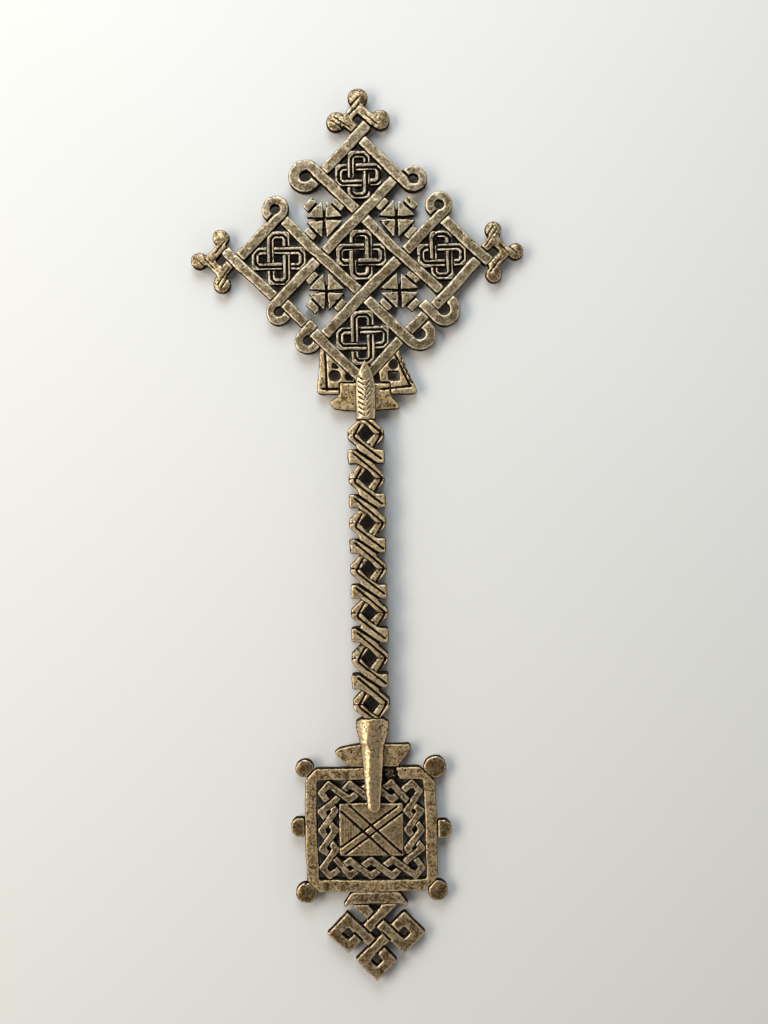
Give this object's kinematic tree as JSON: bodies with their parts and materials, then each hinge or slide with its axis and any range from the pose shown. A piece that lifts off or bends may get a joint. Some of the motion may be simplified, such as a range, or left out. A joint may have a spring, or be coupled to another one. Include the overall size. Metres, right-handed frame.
{
  "type": "hand cross",
  "caption": "Flat openwork metal hand cross with a woven strap head, linked knots, a pierced lattice grip and a square braided base plate ending in a looped foot knot.",
  "frame": {"origin": "bottom centre of the bounding box, on the surface that the cross lies on, under the middle of its length and width", "axes": "+Y along the grip to the top of the head, +Z out of the front face, +X to the viewer's right"},
  "size_m": [0.1122, 0.3006, 0.008],
  "materials": {
    "worn_brass": "hand-worn, pitted, with dark patina in the recesses",
    "dark_brass": "worn on the ridges, black patina between them",
    "bright_brass": "rubbed bright on the crowns, pitted"
  },
  "bodies": {
    "root": {"long_strap_upper_left": "worn_brass", "long_strap_lower_right": "worn_brass", "long_strap_lower_left": "worn_brass", "long_strap_upper_right": "worn_brass", "top_left_edge": "worn_brass", "top_right_edge": "worn_brass", "left_upper_edge": "worn_brass", "left_lower_edge": "worn_brass", "right_upper_edge": "worn_brass", "right_lower_edge": "worn_brass", "bottom_left_edge": "worn_brass", "bottom_right_edge": "worn_brass", "left_link": "worn_brass", "right_link": "worn_brass", "top_knot_upright": "dark_brass", "top_knot_level": "dark_brass", "left_knot_upright": "dark_brass", "left_knot_level": "dark_brass", "middle_knot_upright": "dark_brass", "middle_knot_level": "dark_brass", "right_knot_upright": "dark_brass", "right_knot_level": "dark_brass", "bottom_knot_upright": "dark_brass", "bottom_knot_level": "dark_brass", "upper_left_flower": "bright_brass", "upper_right_flower": "bright_brass", "lower_left_flower": "bright_brass", "lower_right_flower": "bright_brass", "top_crosslet_knot": "worn_brass", "left_crosslet_knot": "worn_brass", "right_crosslet_knot": "worn_brass", "neck_plate": "worn_brass", "left_bracket": "worn_brass", "right_bracket": "worn_brass", "upper_fork": "bright_brass", "grip": "worn_brass", "lower_fork": "bright_brass", "base_collar": "worn_brass", "base_frame": "worn_brass", "upper_left_knob": "bright_brass", "upper_right_knob": "bright_brass", "lower_left_knob": "bright_brass", "lower_right_knob": "bright_brass", "left_lug": "bright_brass", "right_lug": "bright_brass", "middle_panel": "bright_brass", "braid_first_strand": "dark_brass", "braid_second_strand": "dark_brass", "foot_bar": "worn_brass", "foot_knot": "worn_brass"}
  },
  "joints": []
}
